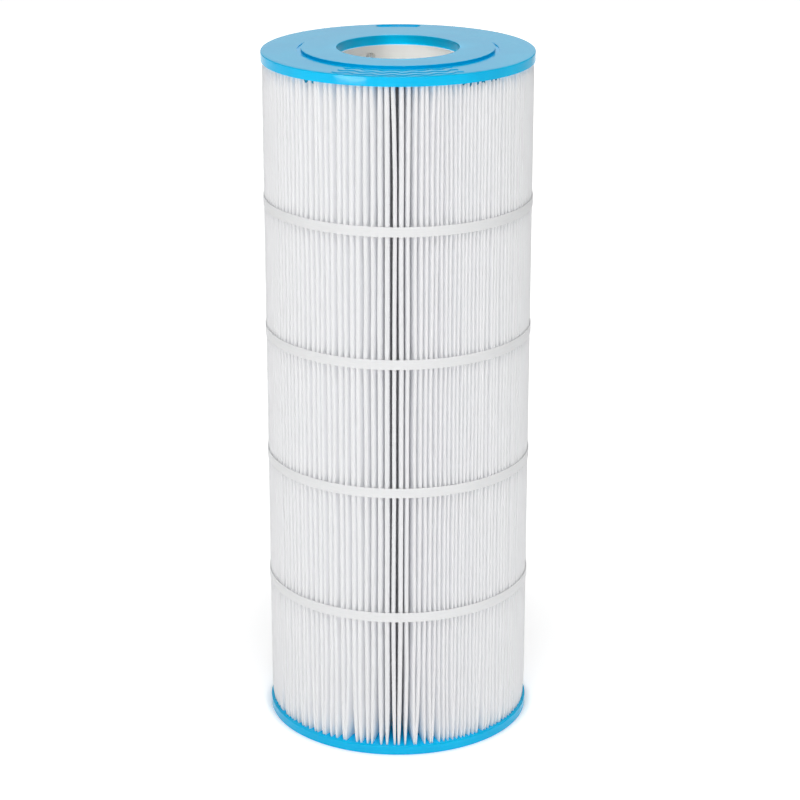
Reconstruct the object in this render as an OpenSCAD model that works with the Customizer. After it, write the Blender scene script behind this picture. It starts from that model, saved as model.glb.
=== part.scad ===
// Pleated cartridge for a pool filter: a long folded sheet round a perforated core,
// with both ends cast into open ring caps and four bands round the pleats.
// Millimetres. The cartridge stands on its bottom cap, with its axis on +Z through the origin.

/* [Overall] */
// Height from the bottom face to the top sealing face
overall_h = 590.55; // [450:0.05:800]
// Outer diameter of both end caps
cap_d = 227; // [220:0.5:240]
// Diameter of the flow opening in each end cap
opening_d = 101.6; // [100.8:0.1:104]

/* [End caps] */
// Thickness of a cap at its outer edge
cap_edge_h = 8.1; // [7:0.1:12]
// Radius of the rounded edges of a cap
cap_round = 0.8; // [0.4:0.1:1.2]
// Diameter of the raised sealing disc on the top cap
disc_d = 160.6; // [140:0.2:164]
// Height of the sealing disc above the outer ring
disc_h = 2; // [1:0.1:3]
// Width of the groove round the foot of the sealing disc
groove_w = 3.1; // [1:0.1:4]
// Depth of that groove
groove_depth = 0.8; // [0.4:0.1:1.5]
// Depth to which the pleats and the core are cast into a cap
potting_depth = 4; // [2:0.5:5]

/* [Marks on the top cap] */
// Length of the label recess at the back, measured along the ring
recess_l = 38; // [20:1:60]
// Radial width of the label recess
recess_w = 11; // [6:0.5:14]
// Depth of the label recess
recess_depth = 2.2; // [0.5:0.1:3]
// Number of raised wave lines at the front
wave_lines = 3; // [1:1:3]
// Crests in each wave line
wave_crests = 6; // [2:1:8]
// Height of a wave line above the ring
wave_h = 0.5; // [0.3:0.1:1]

/* [Core tube] */
// Inner diameter of the core tube
core_id = 98.6; // [94:0.1:99.4]
// Wall thickness of the core tube
core_wall = 3.7; // [2:0.1:4]
// Depth of the core tube's end below the top sealing face
core_inset_top = 8.1; // [6:0.1:8.5]
// Depth of the core tube's end above the bottom face
core_inset_bottom = 6.1; // [5:0.1:6.5]
// Diameter of the holes in the core tube
hole_d = 9.5; // [6:0.5:12]
// Distance between rows of holes
hole_row_pitch = 12.5; // [11:0.5:20]
// Depth of the first row's centres below the top sealing face
hole_first_row = 18.5; // [16:0.5:24]

/* [Pleated media] */
// Number of pleats
pleats = 152; // [120:1:160]
// Diameter over the pleat tips
pleat_d = 225.2; // [215:0.1:226]
// Thickness of the folded sheet
sheet_t = 0.6; // [0.4:0.05:0.7]
// Width of the rounded fold at a pleat's tip
tip_w = 2.6; // [1.6:0.1:3]

/* [Bands] */
// Height of a band
band_h = 8.3; // [5:0.1:15]
// Thickness of a band
band_t = 0.6; // [0.3:0.05:0.7]
// Distance between the centres of neighbouring bands
band_pitch = 111.7; // [60:0.1:130]
// Height of the middle of the four bands above the bottom face
band_middle = 295.6; // [280:0.1:320]

/* [Hidden] */

cap_blue = [0.0, 0.68, 0.92];
media_white = [0.93, 0.94, 0.96];
core_cream = [0.87, 0.86, 0.82];
band_white = [0.96, 0.95, 0.93];

fine = 180;                 // $fn of the large rounds
through = 1;                // how far a cut runs past the face it opens
arc_steps = 6;              // segments in a rounded edge
socket_gap = 0.1;           // room between the core tube and the pleats' inner folds

cap_r = cap_d / 2;
opening_r = opening_d / 2;
disc_r = disc_d / 2;
core_r = core_id / 2 + core_wall;
ring_top = overall_h - disc_h;
top_floor = ring_top - cap_edge_h;
core_top = overall_h - core_inset_top;
media_bottom = cap_edge_h - potting_depth;
media_top = top_floor + potting_depth;
pleat_r = pleat_d / 2;
root_r = core_r + socket_gap;
valley_half = 0.15;         // half the gap left between two walls at an inner fold
hole_rows = floor((core_top - core_inset_bottom - hole_first_row) / hole_row_pitch);
hole_turn = 28.25;          // azimuth of the first row's first hole, from +Y towards -X
recess_r = cap_r - 4 - recess_w / 2;
recess_span = recess_l / recess_r * 180 / PI;
wave_inner_r = disc_r + groove_w + 5;
wave_outer_r = cap_r - 6.5;
wave_half_span = 29;        // degrees either side of the front
wave_w = 1.6;               // width of a wave line
wave_rise = 2;              // height of a crest above the line's own radius
wave_steps = 72;            // points along one edge of a wave line

// Point at radius r on the ray at angle a, moved sideways by s.
function polar(r, a, s = 0) = [r * cos(a) - s * sin(a), r * sin(a) + s * cos(a)];

// Points of an arc round [x, y], from angle a0 to a1.
function arc(x, y, r, a0, a1) =
    [for (i = [0 : arc_steps]) [x, y] + polar(r, a0 + (a1 - a0) * i / arc_steps)];

// Zigzag outline of the pleats: a flat tip and a flat root for each pleat.
function pleat_outline(tip_r, tip_half, inner_r, inner_half) =
    [for (i = [0 : pleats - 1])
        let (a = i * 360 / pleats, b = (i + 0.5) * 360 / pleats)
        for (p = [polar(tip_r, a, -tip_half), polar(tip_r, a, tip_half),
                  polar(inner_r, b, -inner_half), polar(inner_r, b, inner_half)]) p];

// One edge of a wave line, side -1 or 1, across the front of the ring.
function wave_edge(r, side) =
    [for (i = [0 : wave_steps])
        let (t = i / wave_steps, a = 270 + wave_half_span * (2 * t - 1))
        polar(r + wave_rise * sin(360 * wave_crests * t) + side * wave_w / 2, a)];

// The list p in reverse order.
function backwards(p) = [for (i = [len(p) - 1 : -1 : 0]) p[i]];

// Section of the folded sheet, as a closed ring.
module sheet_section() {
    difference() {
        polygon(pleat_outline(pleat_r, tip_w / 2, root_r + sheet_t, valley_half));
        polygon(pleat_outline(pleat_r - sheet_t, tip_w / 2 - sheet_t,
                              root_r, valley_half + sheet_t));
    }
}

// The folded sheet from height z0 to z1.
module sheet(z0, z1) {
    translate([0, 0, z0])
        linear_extrude(z1 - z0)
            sheet_section();
}

// Outer rounded edge of a cap whose edge runs from z0 to z1.
function edge_arcs(z0, z1) = concat(
    arc(cap_r - cap_round, z0 + cap_round, cap_round, -90, 0),
    arc(cap_r - cap_round, z1 - cap_round, cap_round, 0, 90));

// Rounded corners of the flow opening at its lower and upper mouths.
function lower_mouth(z) = arc(opening_r + cap_round, z + cap_round, cap_round, 180, 270);
function upper_mouth(z) = arc(opening_r + cap_round, z - cap_round, cap_round, 90, 180);

// Slot with round ends that follows the ring, for the label recess.
module label_recess() {
    end_r = recess_w / 2;
    span = recess_span - recess_w / recess_r * 180 / PI;
    translate([0, 0, ring_top - recess_depth])
        linear_extrude(recess_depth + through) {
            polygon(concat(
                [for (i = [0 : arc_steps]) polar(recess_r - end_r, 90 + span * (i / arc_steps - 0.5))],
                [for (i = [0 : arc_steps]) polar(recess_r + end_r, 90 - span * (i / arc_steps - 0.5))]));
            for (side = [-1, 1])
                translate(polar(recess_r, 90 + side * span / 2))
                    circle(r = end_r, $fn = 32);
        }
}

// Raised wave lines on the front of the ring.
module wave_marks() {
    gap = (wave_outer_r - wave_inner_r) / max(wave_lines - 1, 1);
    for (i = [0 : wave_lines - 1])
        translate([0, 0, ring_top - through])
            linear_extrude(wave_h + through)
                polygon(concat(
                    wave_edge(wave_inner_r + i * gap, -1),
                    backwards(wave_edge(wave_inner_r + i * gap, 1))));
}

module top_end_cap() {
    color(cap_blue) {
        difference() {
            rotate_extrude($fn = fine)
                polygon(concat(
                    [[core_r, top_floor]],
                    edge_arcs(top_floor, ring_top),
                    [[disc_r + groove_w, ring_top],
                     [disc_r + groove_w, ring_top - groove_depth],
                     [disc_r, ring_top - groove_depth]],
                    arc(disc_r - cap_round, overall_h - cap_round, cap_round, 0, 90),
                    upper_mouth(overall_h),
                    [[opening_r, core_top], [core_r, core_top]]));
            label_recess();
            sheet(top_floor - through, media_top);
        }
        wave_marks();
    }
}

module bottom_end_cap() {
    color(cap_blue)
        difference() {
            rotate_extrude($fn = fine)
                polygon(concat(
                    [[core_r, core_inset_bottom], [opening_r, core_inset_bottom]],
                    lower_mouth(0),
                    edge_arcs(0, cap_edge_h),
                    [[core_r, cap_edge_h]]));
            sheet(media_bottom, cap_edge_h + through);
        }
}

module core_tube() {
    color(core_cream)
        difference() {
            translate([0, 0, core_inset_bottom])
                cylinder(r = core_r, h = core_top - core_inset_bottom, $fn = fine);
            translate([0, 0, core_inset_bottom - through])
                cylinder(d = core_id, h = overall_h, $fn = fine);
            for (row = [0 : hole_rows - 1], turn = [0, 90])
                translate([0, 0, overall_h - hole_first_row - row * hole_row_pitch])
                    rotate([90, 0, hole_turn + turn + 45 * (row % 2)])
                        cylinder(d = hole_d, h = 3 * core_r, center = true, $fn = 32);
        }
}

module pleated_media() {
    color(media_white)
        sheet(media_bottom, media_top);
}

// Band number i, counted from the bottom.
module band(i) {
    color(band_white)
        translate([0, 0, band_middle + (i - 2.5) * band_pitch - band_h / 2])
            difference() {
                cylinder(r = pleat_r + band_t, h = band_h, $fn = fine);
                translate([0, 0, -through])
                    cylinder(r = pleat_r, h = band_h + 2 * through, $fn = fine);
            }
}

top_end_cap();
bottom_end_cap();
core_tube();
pleated_media();
band(1);  // band_1
band(2);  // band_2
band(3);  // band_3
band(4);  // band_4
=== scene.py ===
"""The looks of a pleated pool filter cartridge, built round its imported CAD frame, in metres."""

import math

import bpy
import numpy as np
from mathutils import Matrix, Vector

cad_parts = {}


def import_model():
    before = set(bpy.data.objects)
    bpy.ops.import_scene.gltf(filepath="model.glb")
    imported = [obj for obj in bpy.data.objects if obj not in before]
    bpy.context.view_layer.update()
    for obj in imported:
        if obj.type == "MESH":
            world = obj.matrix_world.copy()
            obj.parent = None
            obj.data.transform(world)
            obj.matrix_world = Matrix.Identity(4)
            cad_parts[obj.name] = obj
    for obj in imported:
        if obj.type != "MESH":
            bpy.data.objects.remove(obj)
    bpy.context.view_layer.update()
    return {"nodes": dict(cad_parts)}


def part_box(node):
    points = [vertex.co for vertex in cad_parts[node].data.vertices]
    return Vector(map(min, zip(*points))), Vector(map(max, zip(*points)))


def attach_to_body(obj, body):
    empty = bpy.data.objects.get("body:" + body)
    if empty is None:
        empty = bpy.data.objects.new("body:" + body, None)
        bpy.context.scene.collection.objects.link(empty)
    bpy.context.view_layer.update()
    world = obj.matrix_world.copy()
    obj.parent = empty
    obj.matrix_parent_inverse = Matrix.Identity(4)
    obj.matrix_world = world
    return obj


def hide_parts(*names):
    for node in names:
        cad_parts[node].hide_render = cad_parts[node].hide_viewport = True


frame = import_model()

MM = 0.001
BODY = "root"
SEED = 41
BANDS = ["band_1", "band_2", "band_3", "band_4"]

# Sizes that the CAD boxes don't give, as part.scad has them.
CAP_R = 113.5 * MM
OPENING_R = 50.8 * MM
DISC_R = 80.3 * MM
DISC_H = 2.0 * MM
GROOVE_W = 3.1 * MM
GROOVE_DEPTH = 0.8 * MM
EDGE_ROUND = 0.8 * MM
RECESS_L = 38 * MM
RECESS_W = 11 * MM
RECESS_DEPTH = 2.2 * MM
RECESS_R = 104 * MM
WAVE_LINES = 3
WAVE_CRESTS = 6
WAVE_HALF_SPAN = math.radians(29)
WAVE_RISE = 2.0 * MM
WAVE_W = 1.6 * MM
WAVE_H = 0.5 * MM
PLEATS = 152
SHEET_T = 0.6 * MM
FOLD_HALF = 1.3 * MM        # half the width of a pleat's rounded fold

# The sheet's mesh.
FOLD_STEPS = 7              # points across a fold
WALL_DEPTH = 0.5            # where a wall's middle point is, from its fold to its root
NEAR_CAP = 34 * MM          # height beside a cap in which the rows are close together

# How the pleats depart from even ones. Spacings and sways are shares of the even pitch.
EVEN_PITCH = 2 * math.pi / PLEATS
FRONT_BUNCHES = [(-7, 13, 0.27), (-38, 12, 0.08), (28, 14, -0.26)]  # centre, width, change of spacing
BACK_BUNCHES = range(85, 280, 24)                                   # centres, in degrees from the front
OWN_SHIFT = 0.07            # of a whole pleat from its place
SWAY = 0.055                # of a pleat, from one held height to the next
SWAY_AT_FOOT = 0.36
SWAY_AT_TOP = 0.10
DRIFT = 0.28                # that neighbouring pleats share, from foot to top
ROOT_FOLLOWS = 0.85         # how far a root goes with its two tips, and not with the even pitch
PINCH_HEIGHT = 14 * MM      # over which the pleats pinch to points at the foot
TUCK_HEIGHT = 5 * MM        # over which they tuck in under the top cap
FOOT_DRAW = 1.6 * MM        # how far the tips are drawn in at the foot
FOOT_DRAW_HEIGHT = 6 * MM
TOP_DRAW = 0.5 * MM

MOUTH_ROUND = 0.6 * EDGE_ROUND
SMALL_ROUND = 0.25 * MM     # edges of the groove and of the wave lines
RECESS_MARGIN = 0.7 * MM    # fine rows of the cap's mesh on both sides of the recess
RECESS_ROW = 0.35 * MM
STRAP_T = 0.55 * MM
STRAP_LAP = math.radians(9)
DRIP_INSET = 1.5 * MM       # of a drip's outer side from the cap's edge
DRIP_SUNK = 0.6 * MM        # of a drip's top end in the cap
DRIP_RINGS = 8
DRIP_SIDES = 14


# ---------------------------------------------------------------- places from the frame

def radius_of(node):
    """Outer radius of a round CAD node on the axis."""
    low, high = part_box(node)
    return (high.y - low.y) / 2


CORE_R = radius_of("core_tube")
PLEAT_R = radius_of("pleated_media")
CORE_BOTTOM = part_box("core_tube")[0].z
CORE_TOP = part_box("core_tube")[1].z
TOP_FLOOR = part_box("top_end_cap")[0].z
TOP_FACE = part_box("top_end_cap")[1].z
BOTTOM_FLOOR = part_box("bottom_end_cap")[1].z
MEDIA_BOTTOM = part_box("pleated_media")[0].z
MEDIA_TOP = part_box("pleated_media")[1].z
RING_TOP = TOP_FACE - DISC_H
MIDDLE = RING_TOP / 2
GROOVE_R = DISC_R + GROOVE_W

# The studio.
FLOOR_FAR = 1.1
# Distance from the axis and glow of the floor there, low near the cartridge as a painted contact shadow.
FLOOR_GLOW_AND_PAINTED_SHADOW = [(CAP_R, 0.20), (CAP_R + 7 * MM, 0.52), (0.35, 0.70), (FLOOR_FAR, 0.82)]
FLOOR_HALF = 12
VIEW_SPREAD = 0.16          # growth of half the camera's view per metre of floor
RIGHT_PAINTED_SHADE_EDGE = (0.36, 1.2)     # where the floor's glow starts and stops fading to the right of the view, a painted shade
RIGHT_PAINTED_SHADE_KEEP = 0.65            # what is left of the glow there, under the painted shade
WORLD_GLOW = 0.08
DIFFUSE_BOUNCES = 12        # light reaches deep between the pleats
LENS = 112.2                # millimetres, on a 36 mm sensor
CAMERA_PLACE = (0.0016, -2.0349, 0.9839)
CAMERA_DIP = math.radians(19.011)


# ---------------------------------------------------------------- mesh helpers

def smoothstep(x, low, high):
    t = np.clip((x - low) / (high - low), 0, 1)
    return t * t * (3 - 2 * t)


def mesh_object(name, points, faces, smooth_angle=35):
    """A mesh object from points and faces, smooth except across sharp edges."""
    mesh = bpy.data.meshes.new(name)
    mesh.from_pydata([tuple(p) for p in points], [], [tuple(f) for f in faces])
    mesh.validate()
    obj = bpy.data.objects.new(name, mesh)
    bpy.context.scene.collection.objects.link(obj)
    mesh.shade_smooth()
    mesh.set_sharp_from_angle(angle=math.radians(smooth_angle))
    return obj


def keep_flats_flat(obj):
    """Lets the large faces beside a rounded edge keep their own normals."""
    weighted = obj.modifiers.new("weighted normals", "WEIGHTED_NORMAL")
    weighted.keep_sharp = True


def grid_faces(columns, rows, close_columns=True, close_rows=True):
    """Quads of a grid whose point (c, r) has index c * rows + r."""
    faces = []
    for c in range(columns if close_columns else columns - 1):
        d = (c + 1) % columns
        for r in range(rows if close_rows else rows - 1):
            s = (r + 1) % rows
            faces.append((c * rows + r, d * rows + r, d * rows + s, c * rows + s))
    return faces


def fillet(before, here, after, radius, steps):
    """Points of the arc that rounds the corner at here, between its neighbours before and after."""
    before = (before - here) / np.linalg.norm(before - here)
    after = (after - here) / np.linalg.norm(after - here)
    half = math.acos(np.clip(before @ after, -1, 1)) / 2
    back = radius / math.tan(half)
    middle = (before + after) / np.linalg.norm(before + after)
    centre = here + middle * radius / math.sin(half)
    start = here + before * back - centre
    end = here + after * back - centre
    turn = math.atan2(start[0] * end[1] - start[1] * end[0], start @ end)
    points = []
    for a in np.linspace(0, turn, steps + 1):
        c, s = math.cos(a), math.sin(a)
        points.append(centre + np.array((c * start[0] - s * start[1], s * start[0] + c * start[1])))
    return points


def rounded(corners, steps=4):
    """A closed outline from (r, z, fillet radius) corners, each corner an arc."""
    places = [np.array(corner[:2]) for corner in corners]
    out = []
    for i, (_, _, radius) in enumerate(corners):
        if radius == 0:
            out.append(places[i])
        else:
            following = places[(i + 1) % len(corners)]
            out.extend(fillet(places[i - 1], places[i], following, radius, steps))
    return np.array(out)


def ring_points(outline, angles, lift=None):
    """The points of an outline of (r, z) swung round the axis. Angle 0 is +X."""
    points = []
    for a in angles:
        r, z = outline[:, 0], outline[:, 1].copy()
        if lift is not None:
            z += lift(r, outline[:, 1], a)
        points.extend(np.stack([r * math.cos(a), r * math.sin(a), z], 1))
    return points


def turned(section, r, z, a):
    """The points of a section of (radial, upward) offsets, at radius r, height z and angle a."""
    return [((r + s) * math.cos(a), (r + s) * math.sin(a), z + h) for s, h in section]


def swept(name, sections, smooth_angle):
    """A closed bar through a row of sections that have equally many points."""
    size = len(sections[0])
    faces = grid_faces(len(sections), size, close_columns=False)
    faces.append(tuple(range(size))[::-1])
    faces.append(tuple(range((len(sections) - 1) * size, len(sections) * size)))
    return mesh_object(name, [point for section in sections for point in section], faces, smooth_angle)


def attach(obj, slot, *nodes):
    """Rides on the cartridge and stands for CAD nodes. The slot is not used."""
    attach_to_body(obj, BODY)
    if nodes:
        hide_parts(*nodes)
    return obj


# ---------------------------------------------------------------- materials

def new_material(name):
    """A new material with its nodes and links."""
    material = bpy.data.materials.new(name)
    material.use_nodes = True
    return material, material.node_tree.nodes, material.node_tree.links


def noise(nodes, links, scale, detail=4, stretch=(1, 1, 1)):
    """A noise texture in object space, stretched by a scale along each axis."""
    coordinates = nodes.new("ShaderNodeTexCoord")
    mapping = nodes.new("ShaderNodeMapping")
    mapping.inputs["Scale"].default_value = stretch
    texture = nodes.new("ShaderNodeTexNoise")
    texture.inputs["Scale"].default_value = scale
    texture.inputs["Detail"].default_value = detail
    links.new(coordinates.outputs["Object"], mapping.inputs["Vector"])
    links.new(mapping.outputs["Vector"], texture.inputs["Vector"])
    return texture.outputs["Fac"]


def ramp(nodes, links, factor, stops):
    """A colour ramp of (position, colour) stops, driven by factor."""
    node = nodes.new("ShaderNodeValToRGB")
    elements = node.color_ramp.elements
    while len(elements) < len(stops):
        elements.new(0.5)
    for element, (position, colour) in zip(elements, stops):
        element.position = position
        element.color = (*colour, 1)
    links.new(factor, node.inputs["Fac"])
    return node.outputs["Color"]


def remap(nodes, links, factor, low, high, start=0, end=1):
    """factor, from start to end, brought to the range low to high."""
    node = nodes.new("ShaderNodeMapRange")
    node.inputs["From Min"].default_value = start
    node.inputs["From Max"].default_value = end
    node.inputs["To Min"].default_value = low
    node.inputs["To Max"].default_value = high
    links.new(factor, node.inputs["Value"])
    return node.outputs["Result"]


def bump(nodes, links, height, distance, strength=1.0):
    """A bump of the surface by height, from 0 to 1, times distance."""
    node = nodes.new("ShaderNodeBump")
    node.inputs["Strength"].default_value = strength
    node.inputs["Distance"].default_value = distance
    links.new(height, node.inputs["Height"])
    return node.outputs["Normal"]


def urethane_material(name, painted_shade_scale=1.0):
    """Glossy sky-blue cast polyurethane, faintly cloudy. A shade scale under 1 darkens the blue as
    painted shade.
    """
    material, nodes, links = new_material(name)
    shader = nodes["Principled BSDF"]
    cloud = noise(nodes, links, 26, 3)
    shades = [(0.3, (0.0, 0.53 * painted_shade_scale, 0.92 * painted_shade_scale)), (0.7, (0.0, 0.59 * painted_shade_scale, 0.98 * painted_shade_scale))]
    links.new(ramp(nodes, links, cloud, shades), shader.inputs["Base Color"])
    sheen = noise(nodes, links, 90, 5)
    links.new(remap(nodes, links, sheen, 0.05, 0.15), shader.inputs["Roughness"])
    orange_peel = noise(nodes, links, 350, 3)
    links.new(bump(nodes, links, orange_peel, 0.00004), shader.inputs["Normal"])
    shader.inputs["IOR"].default_value = 1.27
    return material


def media_material():
    """White spunbonded polyester: matt, with a fibrous grain and faint blotches."""
    material, nodes, links = new_material("spunbond_polyester")
    shader = nodes["Principled BSDF"]
    fibre = noise(nodes, links, 900, 6, (1, 1, 0.25))
    blotch = noise(nodes, links, 60, 3, (1, 1, 0.3))
    mixed = nodes.new("ShaderNodeMix")
    mixed.data_type = "FLOAT"
    mixed.inputs["Factor"].default_value = 0.35
    links.new(fibre, mixed.inputs["A"])
    links.new(blotch, mixed.inputs["B"])
    shades = [(0.3, (0.95, 0.955, 0.965)), (0.7, (0.97, 0.97, 0.98))]
    links.new(ramp(nodes, links, mixed.outputs["Result"], shades), shader.inputs["Base Color"])
    links.new(remap(nodes, links, fibre, 0.78, 0.95), shader.inputs["Roughness"])
    links.new(bump(nodes, links, fibre, 0.00004, 0.5), shader.inputs["Normal"])
    shader.inputs["Specular IOR Level"].default_value = 0.2
    return material


def band_material():
    """Thin white strap, satin, with a fine lengthwise grain."""
    material, nodes, links = new_material("strap_white")
    shader = nodes["Principled BSDF"]
    grain = noise(nodes, links, 120, 4, (1, 1, 12))
    shades = [(0.3, (0.88, 0.885, 0.89)), (0.7, (0.92, 0.925, 0.93))]
    links.new(ramp(nodes, links, grain, shades), shader.inputs["Base Color"])
    links.new(remap(nodes, links, grain, 0.38, 0.55), shader.inputs["Roughness"])
    links.new(bump(nodes, links, grain, 0.00005, 0.5), shader.inputs["Normal"])
    return material


def core_material():
    """Off-white moulded plastic with a slight flow mottle."""
    material, nodes, links = new_material("core_plastic")
    shader = nodes["Principled BSDF"]
    flow = noise(nodes, links, 35, 4, (1, 1, 0.4))
    shades = [(0.3, (0.90, 0.885, 0.85)), (0.7, (0.94, 0.93, 0.90))]
    links.new(ramp(nodes, links, flow, shades), shader.inputs["Base Color"])
    sheen = noise(nodes, links, 200, 4)
    links.new(remap(nodes, links, sheen, 0.40, 0.55), shader.inputs["Roughness"])
    grain = noise(nodes, links, 500, 3)
    links.new(bump(nodes, links, grain, 0.00005, 0.5), shader.inputs["Normal"])
    return material


# ---------------------------------------------------------------- pleated media

def spline(knots, values, at):
    """A smooth curve through values at the knots, evaluated at `at`, for rows of values."""
    index = np.clip(np.searchsorted(knots, at, side="right") - 1, 0, len(knots) - 2)
    width = (knots[index + 1] - knots[index])[None, :]
    t = (at - knots[index])[None, :] / width
    slope = np.gradient(values, knots, axis=1)
    start, end = values[:, index], values[:, index + 1]
    leave, arrive = slope[:, index] * width, slope[:, index + 1] * width
    return ((2 * t**3 - 3 * t**2 + 1) * start + (t**3 - 2 * t**2 + t) * leave
            + (3 * t**2 - 2 * t**3) * end + (t**3 - t**2) * arrive)


def tip_angles(rng):
    """Angle of every pleat from the front, + to the right: spread here, crowded there."""
    bunches = list(FRONT_BUNCHES)
    for centre in BACK_BUNCHES:
        place = centre + rng.uniform(-6, 6)
        bunches.append((place, rng.uniform(8, 14), rng.uniform(-0.2, 0.25)))
    angle = np.linspace(-math.pi, math.pi, 1441)
    spacing = np.ones_like(angle)
    for centre, width, change in bunches:
        away = (np.degrees(angle) - centre + 180) % 360 - 180
        spacing += change * np.exp(-(away / width) ** 2 / 2)
    passed = np.concatenate([[0], np.cumsum(2 / (spacing[1:] + spacing[:-1]))])
    return np.interp(np.arange(PLEATS) + 0.5, passed * PLEATS / passed[-1], angle)


def neighbours(angles):
    """The angles of the pleat before and of the pleat after each one."""
    before, after = np.roll(angles, 1), np.roll(angles, -1)
    before[0] -= 2 * math.pi
    after[-1] += 2 * math.pi
    return before, after


def band_heights():
    return [sum(corner.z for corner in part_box(name)) / 2 for name in BANDS]


def tip_tracks(rng, angles, rows):
    """Angle of every tip at every height: near straight, looser where the sheet is cast in."""
    held = [MEDIA_BOTTOM, *band_heights(), MEDIA_TOP]
    between = [(low + high) / 2 for low, high in zip(held, held[1:])]
    knots = np.array(sorted(held + between))
    sway = np.full(len(knots), SWAY)
    sway[0], sway[-1] = SWAY_AT_FOOT, SWAY_AT_TOP
    own = rng.normal(0, OWN_SHIFT, (PLEATS, 1)) + rng.normal(0, 1, (PLEATS, len(knots))) * sway
    height = (knots - knots[0]) / (knots[-1] - knots[0])
    phase = rng.uniform(0, 2 * math.pi)
    shared = DRIFT * np.sin(3 * angles + phase)[:, None] * (height - 0.5)
    return spline(knots, angles[:, None] + (own + shared) * EVEN_PITCH, rows)


def media_rows():
    """Heights of the mesh rows: close together near the caps, where the pleats pinch."""
    low = BOTTOM_FLOOR + NEAR_CAP * np.linspace(0, 1, 7)[1:] ** 1.5
    high = TOP_FLOOR - NEAR_CAP * np.linspace(1, 0, 4)[:-1] ** 1.4
    middle = np.linspace(low[-1], high[0], 14)[1:-1]
    return np.concatenate([[MEDIA_BOTTOM, BOTTOM_FLOOR], low, middle, high, [TOP_FLOOR, MEDIA_TOP]])


def pleat_profiles(rng, rows):
    """Radii and angles of the sheet at every height: each pleat's fold, wall, root and next wall."""
    angles = tip_angles(rng)
    tips = tip_tracks(rng, angles, rows)
    before, after = neighbours(angles)
    even = np.arange(1, PLEATS + 1) * EVEN_PITCH - math.pi
    root = ROOT_FOLLOWS * (angles + after) / 2 + (1 - ROOT_FOLLOWS) * even
    roots = np.repeat(root[:, None], len(rows), axis=1)

    above = (rows - BOTTOM_FLOOR).clip(0)
    pinch = np.exp(-above / PINCH_HEIGHT)
    tuck = np.exp(-(TOP_FLOOR - rows).clip(0) / TUCK_HEIGHT)
    tip_r = PLEAT_R + rng.uniform(-0.4, 0, (PLEATS, 1)) * MM
    tip_r = tip_r - FOOT_DRAW * np.exp(-above / FOOT_DRAW_HEIGHT) - TOP_DRAW * tuck
    spacing = (after - before)[:, None] / (2 * EVEN_PITCH)
    half = FOLD_HALF * spacing ** 1.2 * (1 + rng.normal(0, 0.06, (PLEATS, 1)))
    half = half * (1 - 0.55 * pinch - 0.1 * tuck)
    bow = rng.normal(0, 0.25, (2, PLEATS, 1)) * MM
    root_r, root_half = CORE_R + 0.3 * MM, 0.32 * MM

    def wall(fold_edge, side):
        """Middle and foot of the wall inwards from a fold's edge. Side is +1 right of a fold, -1 left."""
        foot = roots - side * root_half / root_r
        wall_r = tip_r + (root_r - tip_r) * WALL_DEPTH
        swell = bow[(1 - side) // 2] - side * 0.5 * MM * pinch
        middle = fold_edge + (foot - fold_edge) * WALL_DEPTH + swell / wall_r
        return [(wall_r, middle), (np.full_like(tips, root_r + root_half), foot)]

    profile = []
    for bend in np.radians(np.linspace(-90, 90, FOLD_STEPS)):
        radius = tip_r - half * (1 - math.cos(bend))
        profile.append((radius, tips + half * math.sin(bend) / radius))
    next_left = np.roll(profile[0][1], -1, axis=0)
    next_left[-1] += 2 * math.pi
    inner_fold = [(np.full_like(tips, root_r), roots)]
    return profile + wall(profile[-1][1], 1) + inner_fold + wall(next_left, -1)[::-1]


def pleated_media(material):
    """One folded sheet: its pleats stand side by side and pinch to a point at the foot."""
    rows = media_rows()
    profile = pleat_profiles(np.random.default_rng(SEED), rows)
    columns = []
    for pleat in range(PLEATS):
        for radius, angle in profile:
            r, turn = radius[pleat], angle[pleat] - math.pi / 2
            columns.append(np.stack([r * np.cos(turn), r * np.sin(turn), rows], 1))
    faces = grid_faces(len(columns), len(rows), close_rows=False)
    obj = mesh_object("pleated_sheet", np.concatenate(columns), faces, 80)
    thick = obj.modifiers.new("sheet thickness", "SOLIDIFY")
    thick.thickness = SHEET_T
    thick.offset = -1
    obj.data.materials.append(material)
    attach(obj, "media_fabric", "pleated_media")


# ---------------------------------------------------------------- end caps

def cap_angles(fine_centre=None, fine_half=0.0, fine_step=math.radians(0.2)):
    """Angles round a cap, closer together about fine_centre."""
    plain = np.linspace(0, 2 * math.pi, 256, endpoint=False)
    if fine_centre is None:
        return plain
    away = np.abs((plain - fine_centre + math.pi) % (2 * math.pi) - math.pi)
    close = np.arange(fine_centre - fine_half, fine_centre + fine_half, fine_step)
    return np.sort(np.concatenate([plain[away > fine_half], close % (2 * math.pi)]))


def recess_lift(r, z, angle):
    """Depth of the label recess under the ring's top, as a slot with round ends."""
    away = (angle - math.pi / 2 + math.pi) % (2 * math.pi) - math.pi
    beyond = np.clip(abs(away) * RECESS_R - (RECESS_L - RECESS_W) / 2, 0, None)
    edge = np.hypot(beyond, r - RECESS_R) - RECESS_W / 2
    on_ring = (z > RING_TOP - 0.01 * MM) & (r > GROOVE_R) & (r < CAP_R - EDGE_ROUND)
    return -RECESS_DEPTH * (1 - smoothstep(edge, -0.5 * MM, 0.05 * MM)) * on_ring


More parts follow.
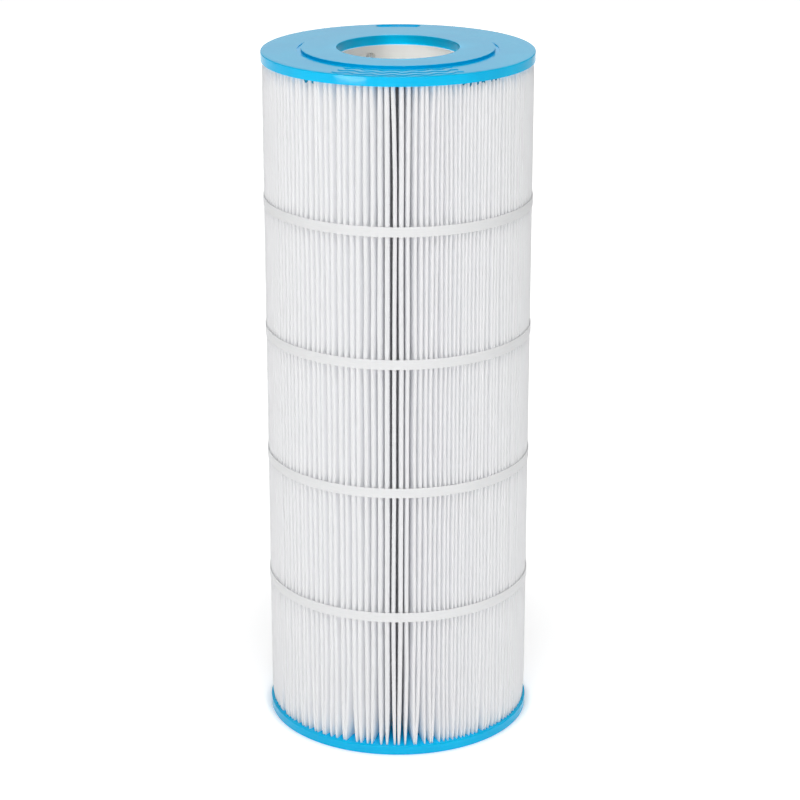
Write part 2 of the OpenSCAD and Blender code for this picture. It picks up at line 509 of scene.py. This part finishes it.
def top_cap_outline():
    """Section of the top cap, with fine rows across the ring where the recess is."""
    rim = rounded([
        (CORE_R, TOP_FLOOR, 0),
        (CAP_R, TOP_FLOOR, MOUTH_ROUND),
        (CAP_R, RING_TOP, EDGE_ROUND),
    ])
    reach = RECESS_W / 2 + RECESS_MARGIN
    rows = np.arange(RECESS_R + reach, RECESS_R - reach, -RECESS_ROW)
    ring = np.stack([rows, np.full_like(rows, RING_TOP)], 1)
    disc = rounded([
        (GROOVE_R + 3 * MM, RING_TOP, 0),
        (GROOVE_R, RING_TOP, SMALL_ROUND),
        (GROOVE_R, RING_TOP - GROOVE_DEPTH, SMALL_ROUND),
        (DISC_R, RING_TOP - GROOVE_DEPTH, SMALL_ROUND),
        (DISC_R, TOP_FACE, MOUTH_ROUND),
        (OPENING_R, TOP_FACE, MOUTH_ROUND),
        (OPENING_R, CORE_TOP, 0),
        (CORE_R, CORE_TOP, 0),
        (CORE_R, TOP_FLOOR + 0.5 * MM, 0),
    ])
    return np.concatenate([rim, ring, disc])


def end_cap(name, outline, angles, lift, material, node):
    """A cap of the given section, round the axis."""
    points = ring_points(outline, angles, lift)
    obj = mesh_object(name, points, grid_faces(len(angles), len(outline)), 40)
    keep_flats_flat(obj)
    obj.data.materials.append(material)
    return attach(obj, "urethane_cap", node)


def top_end_cap(material):
    angles = cap_angles(math.pi / 2, math.radians(13))
    return end_cap("top_end_cap_skin", top_cap_outline(), angles, recess_lift, material, "top_end_cap")


def bottom_end_cap(material):
    outline = rounded([
        (CORE_R, CORE_BOTTOM, 0),
        (OPENING_R, CORE_BOTTOM, 0),
        (OPENING_R, 0, MOUTH_ROUND),
        (CAP_R, 0, EDGE_ROUND),
        (CAP_R, BOTTOM_FLOOR, EDGE_ROUND),
        (CORE_R, BOTTOM_FLOOR, 0),
    ])
    return end_cap("bottom_end_cap_skin", outline, cap_angles(), None, material, "bottom_end_cap")


def wave_marks(material):
    """Raised wave lines on the front of the top cap's ring, with rounded shoulders."""
    first, last = GROOVE_R + 5 * MM, CAP_R - 6.5 * MM
    sunk = 0.3 * MM
    section = rounded([
        (-WAVE_W / 2, -sunk, 0),
        (-WAVE_W / 2, WAVE_H, SMALL_ROUND),
        (WAVE_W / 2, WAVE_H, SMALL_ROUND),
        (WAVE_W / 2, -sunk, 0),
    ])
    for line in range(WAVE_LINES):
        middle = first + (last - first) * line / (WAVE_LINES - 1)
        sections = []
        for t in np.linspace(0, 1, 181):
            r = middle + WAVE_RISE * math.sin(2 * math.pi * WAVE_CRESTS * t)
            sections.append(turned(section, r, RING_TOP, WAVE_HALF_SPAN * (2 * t - 1) - math.pi / 2))
        obj = swept(f"cap_wave_{line + 1}", sections, 50)
        obj.data.materials.append(material)
        attach(obj, "urethane_cap")


def drip_points(azimuth, hang, half):
    """Rings of points down one drip under the top cap's rim."""
    centre = CAP_R - half - DRIP_INSET
    points = []
    for u in np.linspace(0, 1, DRIP_RINGS):
        radius = half * math.sqrt(max(1 - u * u, 0.0004))
        z = TOP_FLOOR + DRIP_SUNK - (hang + DRIP_SUNK) * u
        for turn in np.linspace(0, 2 * math.pi, DRIP_SIDES, endpoint=False):
            r, side = centre + radius * math.cos(turn), radius * math.sin(turn)
            points.append((r * math.cos(azimuth) - side * math.sin(azimuth),
                           r * math.sin(azimuth) + side * math.cos(azimuth), z))
    return points


def cap_drips(material):
    """Small runs of urethane that set hanging under the top cap's rim, between the pleats."""
    rng = np.random.default_rng(SEED + 3)
    azimuths = np.concatenate([rng.normal(27, 13, 6), rng.uniform(60, 335, 7)])
    drip_faces = grid_faces(DRIP_RINGS, DRIP_SIDES, close_columns=False)
    drip_faces.append(tuple(range(DRIP_SIDES)))
    drip_faces.append(tuple(range((DRIP_RINGS - 1) * DRIP_SIDES, DRIP_RINGS * DRIP_SIDES))[::-1])
    points, faces = [], []
    for azimuth in np.radians(azimuths - 90):
        hang, half = rng.uniform(2.2, 3.8) * MM, rng.uniform(1.5, 2.3) * MM
        faces += [tuple(len(points) + i for i in face) for face in drip_faces]
        points += drip_points(azimuth, hang, half)
    obj = mesh_object("top_cap_drips", points, faces, 60)
    obj.data.materials.append(material)
    attach(obj, "urethane_cap")


# ---------------------------------------------------------------- bands

def bands(material):
    """Four straps, each a strip wound once round the pleats and welded where its ends lap."""
    rng = np.random.default_rng(SEED + 2)
    inner = PLEAT_R - 0.1 * MM
    edge = 0.2 * MM
    for name in BANDS:
        low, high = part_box(name)
        middle, half = (low.z + high.z) / 2, (high.z - low.z) / 2
        corners = [(0, -half), (STRAP_T, -half), (STRAP_T, half), (0, half)]
        section = rounded([(*corner, edge) for corner in corners], 2)
        start = math.radians(90 + rng.uniform(-25, 25))
        phase, sag = rng.uniform(0, 2 * math.pi), rng.uniform(0.1, 0.3) * MM
        sections = []
        for t in np.linspace(0, 2 * math.pi + STRAP_LAP, 300):
            climb = smoothstep(t, 2 * math.pi - STRAP_LAP * 2 / 3, 2 * math.pi)
            z = middle + sag * math.sin(start + t + phase)
            sections.append(turned(section, inner + STRAP_T * climb, z, start + t))
        obj = swept(f"{name}_strap", sections, 40)
        keep_flats_flat(obj)
        obj.data.materials.append(material)
        attach(obj, "band_plastic", name)


def core_tube():
    """The core tube is the CAD's own, with a material."""
    obj = frame["nodes"]["core_tube"]
    obj.data.materials.clear()
    obj.data.materials.append(core_material())


# ---------------------------------------------------------------- studio

def math_node(nodes, links, operation, *values):
    """A math node on outputs of other nodes and plain numbers."""
    node = nodes.new("ShaderNodeMath")
    node.operation = operation
    for place, value in zip(node.inputs, values):
        if isinstance(value, (int, float)):
            place.default_value = value
        else:
            links.new(value, place)
    return node.outputs["Value"]


def floor_material():
    """White, with a glow that is low near the cartridge as a painted contact shadow, grows away from it
    and is weaker on the right as painted shade.
    """
    material, nodes, links = new_material("studio_floor")
    shader = nodes["Principled BSDF"]
    shader.inputs["Base Color"].default_value = (0.9, 0.9, 0.9, 1)
    shader.inputs["Roughness"].default_value = 0.9
    shader.inputs["Specular IOR Level"].default_value = 0.0
    shader.inputs["Emission Color"].default_value = (1, 1, 1, 1)
    place = nodes.new("ShaderNodeTexCoord").outputs["Object"]
    distance = nodes.new("ShaderNodeVectorMath")
    distance.operation = "LENGTH"
    links.new(place, distance.inputs[0])
    share = remap(nodes, links, distance.outputs["Value"], 0, 1, end=FLOOR_FAR)
    # The glow is low right at the cartridge's foot: a painted contact shadow.
    floor_glow_and_painted_shadow = ramp(nodes, links, share, [(r / FLOOR_FAR, (level,) * 3) for r, level in FLOOR_GLOW_AND_PAINTED_SHADOW])
    axes = nodes.new("ShaderNodeSeparateXYZ")
    links.new(place, axes.inputs["Vector"])
    # Painted shade: the floor's glow fades towards the right of the view.
    beside = math_node(nodes, links, "MULTIPLY_ADD", axes.outputs["Y"], -VIEW_SPREAD, axes.outputs["X"])
    painted_right_shade = remap(nodes, links, beside, 1, RIGHT_PAINTED_SHADE_KEEP, *RIGHT_PAINTED_SHADE_EDGE)
    links.new(math_node(nodes, links, "MULTIPLY", floor_glow_and_painted_shadow, painted_right_shade), shader.inputs["Emission Strength"])
    return material


def floor():
    """A wide square under the cartridge."""
    corners = [(-1, -1), (1, -1), (1, 1), (-1, 1)]
    obj = mesh_object("floor", [(x * FLOOR_HALF, y * FLOOR_HALF, 0) for x, y in corners], [(0, 1, 2, 3)])
    obj.data.materials.append(floor_material())


def softbox(name, aim, azimuth, elevation, distance, size, radiance, spread=180):
    """A rectangular light that faces the axis at height aim. Azimuth 0 is the front, + to the right."""
    width, height = size
    light = bpy.data.lights.new(name, "AREA")
    light.shape = "RECTANGLE"
    light.size = width
    light.size_y = height
    light.spread = math.radians(spread)
    light.energy = radiance * math.pi * width * height
    obj = bpy.data.objects.new(name, light)
    bpy.context.scene.collection.objects.link(obj)
    turn, rise = math.radians(azimuth), math.radians(elevation)
    towards = Vector((math.sin(turn) * math.cos(rise), -math.cos(turn) * math.cos(rise), math.sin(rise)))
    obj.location = Vector((0, 0, aim)) + towards * distance
    obj.rotation_mode = "QUATERNION"
    obj.rotation_quaternion = (-towards).to_track_quat("-Z", "Y")
    obj.visible_camera = False
    return obj


def lights(cap):
    """A panel behind, two softboxes in front, a beam into the opening and a strip for the cap's rim."""
    strip = softbox("strip", RING_TOP, -35.5, -8.7, 0.515, (0.21, 0.012), 2.7, spread=60)
    softbox("rear_panel", MIDDLE, 180, 10, 3.5, (2.2, 1.5), 0.76)
    softbox("front_mid", MIDDLE, -4, 25, 2.6, (0.9, 0.8), 1.7)
    softbox("front_high", MIDDLE, 0, 67, 3.5, (1.9, 1.9), 6.7)
    softbox("opening_beam", TOP_FACE, -42, 36, 0.4, (0.085, 0.045), 0.38, spread=2)
    receivers = bpy.data.collections.new("lit_by_strip")
    receivers.objects.link(cap)
    strip.light_linking.receiver_collection = receivers


def world():
    """Weak white light from all round."""
    made = bpy.data.worlds.new("studio")
    bpy.context.scene.world = made
    made.use_nodes = True
    background = made.node_tree.nodes["Background"]
    background.inputs["Color"].default_value = (1, 1, 1, 1)
    background.inputs["Strength"].default_value = WORLD_GLOW


def camera():
    """A long lens a little above the cartridge, looking down its front."""
    data = bpy.data.cameras.new("camera")
    data.sensor_width = 36
    data.lens = LENS
    obj = bpy.data.objects.new("camera", data)
    bpy.context.scene.collection.objects.link(obj)
    obj.location = CAMERA_PLACE
    obj.rotation_euler = (math.radians(90) - CAMERA_DIP, 0, 0)
    bpy.context.scene.camera = obj


def main():
    camera()
    world()
    floor()
    blue = urethane_material("urethane_blue")
    pleated_media(media_material())
    cap = top_end_cap(blue)
    lights(cap)
    bottom_end_cap(blue)
    wave_marks(blue)
    # The drips get a darker copy of the blue: painted shade under the rim.
    cap_drips(urethane_material("urethane_blue_painted_shade", 0.4))
    bands(band_material())
    core_tube()
    bpy.context.scene.view_settings.view_transform = "Standard"
    bpy.context.scene.cycles.diffuse_bounces = DIFFUSE_BOUNCES


main()
